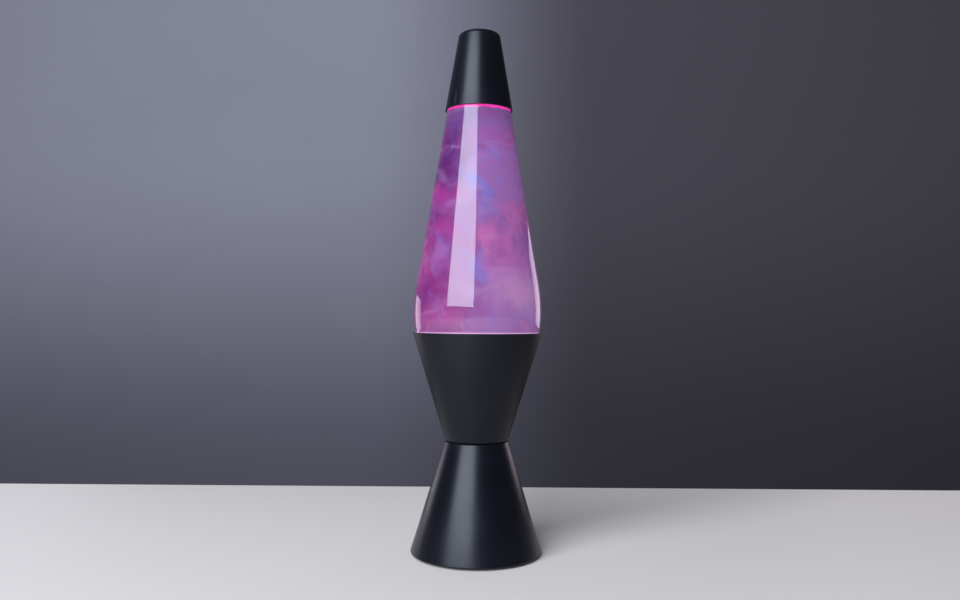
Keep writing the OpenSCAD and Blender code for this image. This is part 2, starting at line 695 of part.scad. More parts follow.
// Glass mount that closes the neck and carries the wires
module bulb_stem() {
    color("#dfe6ea", 0.6) translate([0, 0, tip_z])
        revolve(rounded([[0, 14], [bulb_neck_r - bulb_t, 14], [bulb_neck_r - bulb_t, 15.2], [2.8, 19, 2],
            [2.4, 33], [0, 33]]));
}

filament_h = 47;
filament_r = 7;

module bulb_wires() {
    color("#9aa0a6") translate([0, 0, tip_z]) {
        for (s = [-1, 1]) rod([s * 1.3, 0, 33], [s * filament_r, 0, filament_h - 0.25], 0.3);
        rod([0, 1.2, 33], [0, filament_r, filament_h - 0.25], 0.25);
    }
}

module bulb_filament() {
    color("#70757a") translate([0, 0, tip_z + filament_h])
        rotate_extrude(angle = 180) translate([filament_r, 0]) circle(r = 0.25);
}

// ---------------------------------------------------------------- build

lower_cone();
upper_cone();
lamp_bracket();
waist_screws();
waist_nuts();
lampholder_body();
lampholder_housing();
lampholder_shell();
lampholder_tongue();
lampholder_terminals();
terminal_screws();
hollow_screw();
star_washer();
hollow_screw_nut();
live_lead();
neutral_lead();
earth_lead();
earth_tag();
earth_screw();
terminal_block();
block_tubes();
block_screws();
block_fixing_screw();
cord_bushing();
bottom_cover();
cover_screws();
rubber_foot(0);  // rubber_foot_1
rubber_foot(1);  // rubber_foot_2
rubber_foot(2);  // rubber_foot_3
rubber_foot(3);  // rubber_foot_4
globe();
liquid();
crown_liner();
crown_cap();
top_cap();
bulb_glass();
bulb_screw_cap();
bulb_insulator();
bulb_tip();
bulb_stem();
bulb_wires();
bulb_filament();
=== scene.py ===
# %% [markdown]
# # A lamp of swirling liquid
# This lesson dresses a table lamp that already exists as a CAD model. The CAD gives every
# piece its place and size, in metres, and nothing here moves it. The steps are: load the
# frame, turn the smooth shells that the CAD holds only as flat facets, make the small parts
# that show, give each surface its finish, and set up light and camera.

# %% Load the frame
import json
import math

import bpy
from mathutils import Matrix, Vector

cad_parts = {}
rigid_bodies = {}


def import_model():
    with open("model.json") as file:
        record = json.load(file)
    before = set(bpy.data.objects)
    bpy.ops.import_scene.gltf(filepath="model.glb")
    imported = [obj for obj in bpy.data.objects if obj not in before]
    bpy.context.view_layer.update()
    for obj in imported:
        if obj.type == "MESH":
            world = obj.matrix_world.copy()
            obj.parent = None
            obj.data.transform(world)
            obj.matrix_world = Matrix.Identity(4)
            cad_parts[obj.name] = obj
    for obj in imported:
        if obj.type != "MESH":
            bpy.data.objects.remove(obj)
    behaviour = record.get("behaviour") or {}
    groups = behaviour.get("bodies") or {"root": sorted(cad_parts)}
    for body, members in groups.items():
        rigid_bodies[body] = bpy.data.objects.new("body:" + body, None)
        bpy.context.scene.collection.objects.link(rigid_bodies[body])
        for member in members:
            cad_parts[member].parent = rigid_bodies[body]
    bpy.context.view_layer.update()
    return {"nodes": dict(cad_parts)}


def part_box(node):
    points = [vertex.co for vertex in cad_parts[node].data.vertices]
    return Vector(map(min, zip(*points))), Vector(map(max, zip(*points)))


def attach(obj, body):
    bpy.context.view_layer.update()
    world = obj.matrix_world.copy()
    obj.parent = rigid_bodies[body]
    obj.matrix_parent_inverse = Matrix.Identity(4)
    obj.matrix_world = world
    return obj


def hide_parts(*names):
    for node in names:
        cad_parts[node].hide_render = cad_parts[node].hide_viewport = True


for extra in list(bpy.data.objects):
    bpy.data.objects.remove(extra)
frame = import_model()
cad = frame["nodes"]

# %% [markdown]
# ## How a turned piece is made
# Most of this lamp is spun or blown, so it is round about one axis. A spinner draws half of
# the section and turns it. The same works here: one point is pushed along the outline, and
# the chain of edges is spun about the upright axis. An outline of the outside and the inside
# in one loop gives the wall its real thickness. Typing in a mesh or stretching a cylinder
# would also work, but a spin keeps the section in plain sight. Its seam is merged, and the
# faces are turned outwards while the mesh is one closed skin.

# %% Start, shape and close a turned piece
STEPS = 160


def deselect():
    if bpy.context.mode != "OBJECT":
        bpy.ops.object.mode_set(mode="OBJECT")
    bpy.ops.object.select_all(action="DESELECT")


def edit(piece, mode="VERT"):
    deselect()
    piece.select_set(True)
    bpy.context.view_layer.objects.active = piece
    bpy.ops.object.mode_set(mode="EDIT")
    bpy.ops.mesh.select_mode(type=mode)


def pick(piece, test):
    """Selects the points of a piece that pass a test, and opens it for editing."""
    edit(piece)
    bpy.ops.mesh.select_all(action="DESELECT")
    bpy.ops.object.mode_set(mode="OBJECT")
    for v in piece.data.vertices:
        v.select = test(v.co)
    bpy.ops.object.mode_set(mode="EDIT")


def smooth(piece, angle=32):
    deselect()
    piece.select_set(True)
    bpy.context.view_layer.objects.active = piece
    bpy.ops.object.shade_smooth_by_angle(angle=math.radians(angle))


def close_skin(piece):
    edit(piece)
    bpy.ops.mesh.select_all(action="SELECT")
    bpy.ops.mesh.remove_doubles(threshold=2e-6)
    bpy.ops.mesh.normals_make_consistent(inside=False)
    deselect()


def turned(name, outline, steps=STEPS):
    """A closed piece from one loop of (radius, height) points, in metres, spun about Z."""
    deselect()
    bpy.ops.mesh.primitive_plane_add(size=0.001, location=(0, 0, 0))
    piece = bpy.context.object
    piece.name = piece.data.name = name
    edit(piece)
    bpy.ops.mesh.select_all(action="SELECT")
    bpy.ops.mesh.merge(type="CENTER")
    bpy.ops.transform.translate(value=(outline[0][0], 0, outline[0][1]))
    for a, b in zip(outline, outline[1:]):
        bpy.ops.mesh.extrude_vertices_move(
            TRANSFORM_OT_translate={"value": (b[0] - a[0], 0, b[1] - a[1])})
    bpy.ops.mesh.select_all(action="SELECT")
    bpy.ops.mesh.spin(steps=steps, angle=math.tau, center=(0, 0, 0), axis=(0, 0, 1))
    close_skin(piece)
    return piece


# %% [markdown]
# A spun edge is never sharp. Each corner ring is picked by its radius and height and given a
# bevel, which is the round that the spinner's roller leaves.

# %% Round a ring of edges
RING_REACH = 2e-5


def round_ring(piece, radius, height, width, segments):
    pick(piece, lambda p: abs(p.z - height) < RING_REACH and abs(math.hypot(p.x, p.y) - radius) < RING_REACH)
    bpy.ops.mesh.bevel(offset=width, segments=segments, profile=0.5, affect="EDGES")
    deselect()


def arc(centre, radius, start, stop, count):
    """Points on a circle in the section, from one angle to another, in degrees."""
    return [(centre[0] + radius * math.cos(math.radians(start + (stop - start) * i / count)),
             centre[1] + radius * math.sin(math.radians(start + (stop - start) * i / count)))
            for i in range(count + 1)]


def sides(piece):
    lo = Vector([min(v.co[i] for v in piece.data.vertices) for i in range(3)])
    hi = Vector([max(v.co[i] for v in piece.data.vertices) for i in range(3)])
    return lo, hi


def report(piece):
    lo, hi = sides(piece)
    print(piece.name, [round((b - a) * 1000, 1) for a, b in zip(lo, hi)], "mm,",
          len(piece.data.polygons), "faces")


# %% [markdown]
# Holes are drilled with a boolean, which is the plain way to cut one solid with another. The
# modifier is applied at once and its cutter deleted, so the piece keeps a plain mesh.

# %% Cut one piece with another, and make round bars for it
def carve(piece, tool, operation="DIFFERENCE"):
    deselect()
    bpy.context.view_layer.objects.active = piece
    cut = piece.modifiers.new("cut", "BOOLEAN")
    cut.operation, cut.object, cut.solver = operation, tool, "EXACT"
    bpy.ops.object.modifier_apply(modifier="cut")
    bpy.data.objects.remove(tool)


def round_bar(radius, low, high, x=0.0, y=0.0, vertices=48):
    deselect()
    bpy.ops.mesh.primitive_cylinder_add(vertices=vertices, radius=radius, depth=high - low,
                                        location=(x, y, (low + high) / 2))
    return bpy.context.object


# %% [markdown]
# ## The cap
# The cap is one spun cone of thin metal that hangs over the neck of the globe. Its wall is
# straight, its top is flat, and a soft round joins them. The CAD's box gives its height and
# the radius of its lower edge, so the outline states the top's radius, the wall's thickness and the round.

# %% Turn the cap
cap_low, cap_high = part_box("top_cap")
cap_edge_r, cap_z1 = cap_high.x, cap_high.z
CAP_WALL, CAP_TOP_R, CAP_ROUND, LIP_ROUND = 0.0008, 0.0144, 0.0030, 0.00025
cap_tilt = math.atan2(cap_edge_r - CAP_TOP_R, cap_z1 - cap_low.z)
cap_z0 = cap_low.z + CAP_WALL * math.sin(cap_tilt)
cap_across = CAP_WALL / math.cos(cap_tilt)
cap_inner_top_r = CAP_TOP_R + math.tan(cap_tilt) * CAP_WALL - cap_across
cap_shell = turned("cap_shell", [
    (0, cap_z1), (CAP_TOP_R, cap_z1), (cap_edge_r, cap_z0),
    (cap_edge_r - CAP_WALL * math.cos(cap_tilt), cap_low.z),
    (cap_inner_top_r, cap_z1 - CAP_WALL), (0, cap_z1 - CAP_WALL)])
round_ring(cap_shell, CAP_TOP_R, cap_z1, CAP_ROUND, 8)
round_ring(cap_shell, cap_inner_top_r, cap_z1 - CAP_WALL, CAP_ROUND * 0.8, 6)
round_ring(cap_shell, cap_edge_r, cap_z0, LIP_ROUND, 3)
smooth(cap_shell)
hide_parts("top_cap")
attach(cap_shell, "cap")
report(cap_shell)

# %% [markdown]
# ## The cup and the foot
# Two cones meet at the waist. The upper one is the cup that the globe drops into, and the
# lower one is the foot. Each has a flat ring at the waist, where the screws clamp them
# together, and both rings end at the hole for the bulb. The cup's edge at the waist is
# round, so a thin line of light catches it above the dark seam.

# %% Turn the cup
cup_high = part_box("upper_cone")[1]
METAL, BORE_R, WAIST_R = 0.0009, 0.0155, 0.0222
waist_z, cup_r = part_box("lower_cone")[1].z, cup_high.x
cup_tilt = math.atan2(cup_r - WAIST_R, cup_high.z - waist_z)
cup_z = cup_high.z - METAL * math.sin(cup_tilt)
cup_slope = math.tan(cup_tilt)
cup_wall = METAL / math.cos(cup_tilt)
cup_inner_r = WAIST_R + cup_slope * METAL - cup_wall
cup_lip_r = cup_r - METAL * math.cos(cup_tilt)
cup_shell = turned("cup_shell", [
    (BORE_R, waist_z), (WAIST_R, waist_z), (cup_r, cup_z), (cup_lip_r, cup_high.z),
    (cup_inner_r, waist_z + METAL), (BORE_R, waist_z + METAL), (BORE_R, waist_z)])
round_ring(cup_shell, WAIST_R, waist_z, 0.0016, 6)
round_ring(cup_shell, cup_inner_r, waist_z + METAL, 0.0010, 4)
round_ring(cup_shell, cup_r, cup_z, LIP_ROUND, 3)
round_ring(cup_shell, cup_lip_r, cup_high.z, LIP_ROUND, 3)
smooth(cup_shell)
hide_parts("upper_cone")
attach(cup_shell, "base")
report(cup_shell)

# %% [markdown]
# The foot's lower edge is rolled under into a hem, which stiffens it and hides the cut edge,
# and runs on inwards as a ledge for the bottom cover. The round of the roll shows as a thin
# bright bead just above the table, so it gets a fine bevel. The cord's bushing needs a real
# hole in the wall. Here a boolean with a cylinder is the simple way, as a drill would be.

# %% Turn the foot and drill it
HEM_Z, FOOT_R, HEM_R, LEDGE_R, LEDGE_Z = 0.0015, 0.0465, 0.0433, 0.0385, 0.0036
foot_slope = (FOOT_R - WAIST_R) / (waist_z - HEM_Z)
foot_wall = METAL * math.hypot(1, foot_slope)
foot_top_r = WAIST_R + 0.0001
foot_shell = turned("foot_shell", [
    (BORE_R, waist_z), (foot_top_r, waist_z), (FOOT_R, HEM_Z), (HEM_R, HEM_Z), (HEM_R, LEDGE_Z),
    (LEDGE_R, LEDGE_Z), (LEDGE_R, LEDGE_Z + METAL), (HEM_R + METAL, LEDGE_Z + METAL),
    (HEM_R + METAL, HEM_Z + METAL), (FOOT_R - foot_slope * METAL - foot_wall, HEM_Z + METAL),
    (WAIST_R + foot_slope * METAL - foot_wall, waist_z - METAL),
    (BORE_R, waist_z - METAL), (BORE_R, waist_z)])
round_ring(foot_shell, foot_top_r, waist_z, 0.0008, 5)
round_ring(foot_shell, FOOT_R, HEM_Z, 0.0012, 7)
round_ring(foot_shell, HEM_R, HEM_Z, 0.0009, 6)
round_ring(foot_shell, HEM_R, LEDGE_Z, 0.0005, 3)

BUSHING_Z, BUSHING_R = 0.016, 0.0058
bushing_tilt = math.atan(foot_slope)
bushing_y = FOOT_R - (BUSHING_Z - HEM_Z) * foot_slope
deselect()
bpy.ops.mesh.primitive_cylinder_add(vertices=64, radius=BUSHING_R + 0.0002, depth=0.014,
                                    location=(0, bushing_y, BUSHING_Z),
                                    rotation=(-math.pi / 2 + bushing_tilt, 0, 0))
carve(foot_shell, bpy.context.object)
smooth(foot_shell)
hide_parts("lower_cone")
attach(foot_shell, "base")
report(foot_shell)

# %% [markdown]
# ## The globe
# The globe is a thick blown bottle that stands on its narrow end. From the cup's rim it
# swells to a belly, then tapers in a straight line under the cap, where it closes to a neck
# with a bead for the crown. Its section is drawn from two large arcs and straight lines that
# meet them without a corner, because any corner would break the long reflections.

# %% Draw the section of the glass
glass_low, glass_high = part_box("globe")
GLASS, BELLY_R, UNDER_R, OVER_R = 0.003, glass_high.x, 0.069, 0.136
MOUTH_Z, NECK_R, BEAD_R = glass_high.z, 0.0118, 0.0132
SEAT = 0.00025
under_x, over_x = BELLY_R - UNDER_R, BELLY_R - OVER_R
belly_z = cup_z - ((cup_r - cup_wall) - under_x - (UNDER_R + SEAT) / math.cos(cup_tilt)) / cup_slope
heel_tilt = math.degrees(cup_tilt) + 7
cap_inner_r = cap_edge_r - cap_across - 0.0005
to_cap = Vector((cap_inner_r - over_x, cap_z0 - belly_z))
over_stop = math.degrees(math.atan2(to_cap.y, to_cap.x) - math.acos(OVER_R / to_cap.length))
over_arc = arc((over_x, belly_z), OVER_R, 0, over_stop, 14)
glass_slope = (over_arc[-1][0] - cap_inner_r) / (cap_z0 - over_arc[-1][1])
under_arc = arc((under_x, belly_z), UNDER_R, -heel_tilt, 0, 26)
heel_r = under_arc[0][0] - (under_arc[0][1] - glass_low.z) * math.tan(math.radians(heel_tilt))
shoulder_z, neck_z = MOUTH_Z - 0.021, MOUTH_Z - 0.012
shoulder_r = cap_inner_r - (shoulder_z - cap_z0) * glass_slope
print("belly", round(belly_z * 1000, 1), "mm up, taper", round(glass_slope, 3))


def rounded(corners, count=8):
    """A chain of (radius, height, round) corners with each round drawn as an arc."""
    chain = []
    for i, c in enumerate(corners):
        if i in (0, len(corners) - 1) or len(c) < 3:
            chain.append(c[:2])
            continue
        p = Vector(c[:2])
        a = (Vector(corners[i - 1][:2]) - p).normalized()
        b = (Vector(corners[i + 1][:2]) - p).normalized()
        half = a.angle(b) / 2
        centre = p + (a + b).normalized() * c[2] / math.sin(half)
        first, last = (p + w * c[2] / math.tan(half) - centre for w in (a, b))
        start = math.atan2(first.y, first.x)
        sweep = (math.atan2(last.y, last.x) - start + math.pi) % math.tau - math.pi
        chain += arc(centre, c[2], math.degrees(start), math.degrees(start + sweep), count)
    return chain


def inwards(chain, wall):
    """The same chain moved sideways by a wall's thickness, to the left of the way it runs."""
    moved = []
    for i, p in enumerate(chain):
        ways = [(Vector(chain[k + 1]) - Vector(chain[k])).normalized()
                for k in (max(i - 1, 0), min(i, len(chain) - 2))]
        n1, n2 = (Vector((-w.y, w.x)) for w in ways)
        moved.append(tuple(Vector(p) + wall * (n1 + n2) / (1 + n1.dot(n2))))
    return moved


bead_z = MOUTH_Z - 0.0046
body_chain = (
    rounded([(0, glass_low.z + 0.003), (heel_r * 0.5, glass_low.z + 0.003, 0.008),
             (heel_r * 0.74, glass_low.z, 0.003), (heel_r, glass_low.z, 0.006), under_arc[0]])
    + under_arc[1:] + over_arc[1:]
    + rounded([(over_arc[-1][0] - 0.0001 * glass_slope, over_arc[-1][1] + 0.0001),
               (shoulder_r, shoulder_z, 0.008), (NECK_R, neck_z, 0.004), (NECK_R, bead_z)]))
glass_chain = body_chain + rounded([
    (NECK_R, bead_z), (BEAD_R, bead_z, 0.0006), (BEAD_R, MOUTH_Z, 0.0016), (NECK_R - GLASS, MOUTH_Z)])[1:]

# %% [markdown]
# The inside of the glass is the same line moved in by the wall. The two lines make one loop,
# and one spin makes the whole bottle. The liquid follows the inside line, a hair's breadth
# into the glass, so that no false film of air lies between them and light bends only once.

# %% Turn the glass and the liquid
inner_chain = inwards(body_chain, GLASS)
inner_chain[0] = (0, inner_chain[0][1])
globe_glass = turned("globe_glass", glass_chain + inner_chain[::-1], 192)
smooth(globe_glass, 60)
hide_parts("globe")
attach(globe_glass, "globe")
report(globe_glass)

LIQUID_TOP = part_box("liquid")[1].z
INTO_GLASS = 0.0001
liquid_chain = [(r + INTO_GLASS if r > 0 else 0, z) for r, z in inner_chain if z < LIQUID_TOP - 0.001]
top_r = liquid_chain[-1][0] - (LIQUID_TOP - liquid_chain[-1][1]) * glass_slope
swirl_liquid = turned("swirl_liquid", liquid_chain + [(top_r, LIQUID_TOP), (0, LIQUID_TOP)], 192)
smooth(swirl_liquid, 50)
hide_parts("liquid")
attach(swirl_liquid, "globe")
report(swirl_liquid)

# %% [markdown]
# ## The crown
# A crimped steel crown closes the bottle, hidden by the cap until the cap is lifted off. Its
# skirt is pressed into flutes. A turned dome with four steps to each flute gives the points:
# every fourth column of the skirt is pulled out, its neighbour across is pushed in, and a
# subdivision rounds the flutes as the press does.

# %% Turn the crown and crimp it
crown_low, crown_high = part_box("crown_cap")
FLUTES = 21
cr, ct = BEAD_R + 0.0004, 0.00035
crown = turned("crown", [
    (0, crown_high.z), (cr - 0.0022, crown_high.z), (cr - 0.0008, crown_high.z - 0.0004),
    (cr, crown_high.z - 0.0014), (cr + 0.0002, crown_high.z - 0.0030), (cr + 0.0009, crown_low.z),
    (cr + 0.0009 - ct, crown_low.z), (cr + 0.0002 - ct, crown_high.z - 0.0031),
    (cr - ct, crown_high.z - 0.0016), (cr - 0.0010, crown_high.z - 0.0004 - ct),
    (cr - 0.0024, crown_high.z - ct), (0, crown_high.z - ct)], steps=FLUTES * 4)
for column, push in ((0, 1.035), (2, 0.975)):
    def on_column(p):
        turn = math.degrees(math.atan2(p.y, p.x)) % 360 / (90 / FLUTES)
        return p.z < crown_high.z - 0.0022 and round(turn) % 4 == column
    pick(crown, on_column)
    bpy.ops.transform.resize(value=(push, push, 1), center_override=(0, 0, 0))
deselect()
crown.select_set(True)
bpy.context.view_layer.objects.active = crown
press = crown.modifiers.new("press", "SUBSURF")
press.levels = press.render_levels = 1
bpy.ops.object.modifier_apply(modifier="press")
smooth(crown, 50)
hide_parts("crown_cap")
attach(crown, "globe")
report(crown)

# %% [markdown]
# ## The bulb
# The bulb is a blown reflector: a funnel that is silvered inside, with a frosted front that
# shines up into the globe. It is turned as one shell, with rounds where the mould had them.

# %% Turn the bulb's glass
bulb_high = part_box("bulb_glass")[1]
tip_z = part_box("bulb_tip")[0].z
bulb_r, bulb_top = bulb_high.x, bulb_high.z - tip_z
bulb_chain = rounded([(0.00577, 0.014), (0.00577, 0.0206, 0.002), (0.00805, 0.0251, 0.003),
                      (bulb_r, bulb_top - 0.0135, 0.006), (bulb_r, bulb_top - 0.0032, 0.005),
                      (0.004, bulb_top, 0.010), (0, bulb_top)], 9)
BULB_GLASS = 0.0007
bulb_inside = inwards(bulb_chain, BULB_GLASS)
bulb_inside[-1] = (0, bulb_inside[-1][1])
bulb_shell = turned("bulb_shell", [(r, z + tip_z) for r, z in bulb_chain[::-1] + bulb_inside], 96)
smooth(bulb_shell, 50)
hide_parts("bulb_glass")
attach(bulb_shell, "bulb")
report(bulb_shell)

# %% [markdown]
# ## The feet
# Four rubber feet sit in shallow pockets under the cover. One is turned with a soft lower
# edge and a dished underside, like the moulded pads sold for this, then copied to the other
# places. Each copy gets its own mesh, moved in edit mode so that its object stays at the
# origin.

# %% Turn one rubber foot and copy it
foot_names = [f"rubber_foot_{i}" for i in range(1, 5)]
pad_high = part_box("rubber_foot_1")[1].z
PAD_R = 0.005
pad_outline = rounded([(0, 0.0004), (0.0032, 0.0004, 0.001), (0.0036, 0.0, 0.0003), (PAD_R, 0.0, 0.0006),
                       (PAD_R, pad_high), (0, pad_high)], 4)
pads = []
for name in foot_names:
    low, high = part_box(name)
    pad = turned(name.replace("rubber_foot", "pad"), pad_outline, 48)
    edit(pad)
    bpy.ops.mesh.select_all(action="SELECT")
    bpy.ops.transform.translate(value=((low.x + high.x) / 2, (low.y + high.y) / 2, 0))
    deselect()
    smooth(pad)
    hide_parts(name)
    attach(pad, "base")
    pads.append(pad)
report(pads[0])

# %% [markdown]
# ## The cord's bushing
# The bushing is a soft plastic ring snapped into the foot's wall: a domed flange outside, a
# groove that the wall sits in, and a barbed nose inside. It is turned upright about Z, then
# tipped square to the sloping wall and carried to its hole, all in edit mode.

# %% Turn the bushing and fit it
CORD_R = 0.0036
bushing = turned("bushing", rounded([
    (CORD_R, -0.006), (BUSHING_R - 0.0008, -0.006, 0.0004), (BUSHING_R + 0.0007, -0.003, 0.0002),
    (BUSHING_R + 0.0007, -0.002), (BUSHING_R, -0.002), (BUSHING_R, 0.0), (0.0075, 0.0),
    (0.0075, 0.001, 0.0004), (0.0061, 0.002, 0.0006), (CORD_R + 0.0005, 0.002, 0.0004),
    (CORD_R, 0.0015), (CORD_R, -0.006)], 5), 72)
edit(bushing)
bpy.ops.mesh.select_all(action="SELECT")
bpy.ops.transform.rotate(value=math.pi / 2 - bushing_tilt, orient_axis="X",
                         center_override=(0, 0, 0))
bpy.ops.transform.translate(value=(0, bushing_y, BUSHING_Z))
deselect()
# A turn runs the other way where there is no window, so the result is measured and put right
if (sides(bushing)[0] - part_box("cord_bushing")[0]).length > 0.002:
    edit(bushing)
    bpy.ops.mesh.select_all(action="SELECT")
    bpy.ops.transform.rotate(value=2 * bushing_tilt - math.pi, orient_axis="X",
                             center_override=(0, bushing_y, BUSHING_Z))
    deselect()
smooth(bushing)
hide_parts("cord_bushing")
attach(bushing, "base")
report(bushing)

# %% [markdown]
# ## The bottom cover
# The cover is one moulded plate with two pillars. It is turned as a disc, the pillars are
# joined to it, and then the screw holes with their wide sunk ends, the vents and the pockets
# for the feet are drilled. Moulded edges are never sharp, so one bevel softens all of them.

# %% Mould the bottom cover
cover_low, cover_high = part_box("bottom_cover")
cover_r, cover_z, cover_top = cover_high.x, cover_low.z, LEDGE_Z
PILLAR_X, PILLAR_R, VENT_RING_R, VENT_R = 0.0122, 0.0037, 0.027, 0.002
SCREW_R, SUNK_R, SUNK_DEPTH, FIXING_R, PAST = 0.0017, 0.00275, 0.0034, 0.00115, 0.001
cover = turned("cover", rounded([
    (0, cover_z), (cover_r, cover_z, 0.0006), (cover_r, cover_top, 0.0003), (0, cover_top)], 4), 144)
for side in (-1, 1):
    carve(cover, round_bar(PILLAR_R, cover_z + PAST, cover_high.z, side * PILLAR_X), "UNION")
for side in (-1, 1):
    carve(cover, round_bar(SCREW_R, cover_z - PAST, cover_high.z + PAST, side * PILLAR_X))
    carve(cover, round_bar(SUNK_R, cover_z - PAST, cover_z + SUNK_DEPTH, side * PILLAR_X))
for turn in range(150, 391, 20):
    a = math.radians(turn)
    carve(cover, round_bar(VENT_R, cover_z - PAST, cover_top + PAST,
                           VENT_RING_R * math.cos(a), VENT_RING_R * math.sin(a), 32))
for name in foot_names:
    low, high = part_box(name)
    carve(cover, round_bar(PAD_R + 0.00015, cover_z - PAST, high.z,
                           (low.x + high.x) / 2, (low.y + high.y) / 2))
low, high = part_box("block_fixing_screw")
carve(cover, round_bar(FIXING_R, cover_z + 0.0004, cover_top + PAST,
                       (low.x + high.x) / 2, (low.y + high.y) / 2, 32))
# The disc's many flat wedges become one face, or the bevel would leave creases between them
edit(cover)
bpy.ops.mesh.select_all(action="SELECT")
bpy.ops.mesh.dissolve_limited(angle_limit=math.radians(1))
deselect()
soften = cover.modifiers.new("soften", "BEVEL")
soften.width, soften.segments = 0.00018, 2
soften.limit_method, soften.angle_limit = "ANGLE", math.radians(50)
deselect()
bpy.context.view_layer.objects.active = cover
bpy.ops.object.modifier_apply(modifier="soften")
smooth(cover, 35)
for face in cover.data.polygons:
    face.use_smooth = abs(face.normal.z) < 0.99
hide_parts("bottom_cover")
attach(cover, "base")
report(cover)

# %% [markdown]
# ## The lampholder
# The holder is moulded in two halves. The upper half is a thick cup for the threaded shell,
# with two holes in its floor for the leads, and the lower half is a bell. The bell has grip
# ribs, made like the crown's flutes: every fourth column of the wall is pulled out a little.

# %% Turn the two halves of the holder
holder_low, holder_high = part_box("lampholder_body")
holder_r, SHELL_R, SOCKET_R, SHELL_TOP = holder_high.x, 0.0077, 0.0098, 0.0185
socket_floor = tip_z - 0.004
holder_body = turned("holder_body", rounded([
    (0, socket_floor), (0, holder_low.z), (holder_r, holder_low.z, 0.0005),
    (holder_r, holder_high.z, 0.0012), (SOCKET_R, holder_high.z, 0.0006), (SOCKET_R, tip_z + SHELL_TOP),
    (SHELL_R, tip_z + SHELL_TOP), (SHELL_R, socket_floor), (0, socket_floor)], 6), 96)
for side in (-1, 1):
    carve(holder_body, round_bar(0.0012, holder_low.z - 0.001, tip_z - 0.003, side * 0.005, 0, 24))
smooth(holder_body)
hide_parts("lampholder_body")
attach(holder_body, "base")
report(holder_body)

bell_low, bell_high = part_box("lampholder_housing")
BELL_WALL, BELL_EYE_R, RIB_STEP, RIB_PUSH = 0.002, 0.00505, 3.75, 1.022
bell_r = holder_r - 0.0003
bell_outside = rounded([
    (BELL_EYE_R, bell_low.z), (0.008, bell_low.z, 0.0026), (bell_r, bell_low.z + 0.006, 0.003),
    (bell_r, bell_high.z - 0.001), (bell_r, bell_high.z)], 6)
bell_inside = inwards(bell_outside, BELL_WALL)
holder_bell = turned("holder_bell", bell_outside + bell_inside[::-1] + bell_outside[:1], 96)


def on_rib(p):
    on_column = round(math.degrees(math.atan2(p.y, p.x)) % 360 / RIB_STEP) % 4 == 0
    return on_column and math.hypot(p.x, p.y) > holder_r - 0.0005 and p.z < bell_high.z - 0.0005


pick(holder_bell, on_rib)
bpy.ops.transform.resize(value=(RIB_PUSH, RIB_PUSH, 1), center_override=(0, 0, 0))
deselect()
smooth(holder_bell, 40)
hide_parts("lampholder_housing")
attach(holder_bell, "base")
report(holder_bell)

# %% [markdown]
# ## Finishes
# Three effects come back on several surfaces: a fine grain, rubbed edges, and a little dust on
# what faces up. Each is a node group, built once, with inputs for its size and amount. A
# group gives out only values, and each material feeds them to its own shader.

# %% Helpers for nodes
def socket_in(tree, name, value):
    s = tree.interface.new_socket(name=name, in_out="INPUT", socket_type="NodeSocketFloat")
    s.default_value, s.min_value, s.max_value = value, 0.0, 1e4


def socket_out(tree, name):
    tree.interface.new_socket(name=name, in_out="OUTPUT", socket_type="NodeSocketFloat")


class Board:
    """A short way to place nodes and join them."""

    def __init__(self, tree):
        self.tree = tree

    def add(self, kind, settings=None, **links):
        node = self.tree.nodes.new(kind)
        for key, value in (settings or {}).items():
            setattr(node, key, value)
        for key, value in links.items():
            self.set(node, key.replace("_", " "), value)
        return node

    def set(self, node, key, value):
        target = node.inputs[int(key) if key.isdigit() else key]
        if isinstance(value, bpy.types.NodeSocket):
            self.tree.links.new(value, target)
        else:
            target.default_value = value

    def math(self, operation, a, b=0.5, c=0.5):
        node = self.tree.nodes.new("ShaderNodeMath")
        node.operation = operation
        for i, value in enumerate((a, b, c)):
            self.set(node, str(i), value)
        return node.outputs[0]

    def noise(self, vector, scale, detail=2.0, roughness=0.5, distortion=0.0):
        node = self.add("ShaderNodeTexNoise", Vector=vector, Scale=scale, Detail=detail,
                        Roughness=roughness, Distortion=distortion)
        return node.outputs[0]

    def between(self, value, low, high, a=0.0, b=1.0):
        node = self.add("ShaderNodeMapRange", {"interpolation_type": "SMOOTHSTEP"})
        for key, v in (("Value", value), ("From Min", low), ("From Max", high),
                       ("To Min", a), ("To Max", b)):
            self.set(node, key, v)
        return node.outputs[0]

    def mix(self, factor, a, b):
        node = self.add("ShaderNodeMix", {"data_type": "RGBA", "blend_type": "MIX"})
        self.set(node, "0", factor)
        self.set(node, "6", a)
        self.set(node, "7", b)
        return node.outputs[2]

    def place(self):
        return self.add("ShaderNodeTexCoord").outputs["Object"]

    def stretch(self, vector, scale, turn=(0, 0, 0)):
        node = self.add("ShaderNodeMapping")
        self.set(node, "Vector", vector)
        node.inputs["Scale"].default_value = scale
        node.inputs["Rotation"].default_value = turn
        return node.outputs[0]


def group(name, inputs, outputs):
    tree = bpy.data.node_groups.new(name, "ShaderNodeTree")
    for key, value in inputs.items():
        socket_in(tree, key, value)
    for key in outputs:
        socket_out(tree, key)
    return Board(tree), tree.nodes.new("NodeGroupInput").outputs, tree.nodes.new("NodeGroupOutput")


# %% [markdown]
# The grain group mixes two noises: small bumps such as paint leaves as it dries, and large
# soft clouds where the surface is a touch shinier or duller.

# %% Build the grain group
grain_board, given, grain_out = group("surface_grain", {"Size": 900.0, "Cloud Size": 28.0},
                                      ["Bumps", "Clouds"])
spot = grain_board.place()
bumps = grain_board.noise(spot, given["Size"], 3.0, 0.6)
clouds = grain_board.noise(spot, given["Cloud Size"], 3.0, 0.55, 0.4)
grain_board.set(grain_out, "Bumps", bumps)
grain_board.set(grain_out, "Clouds", grain_board.between(clouds, 0.3, 0.7))

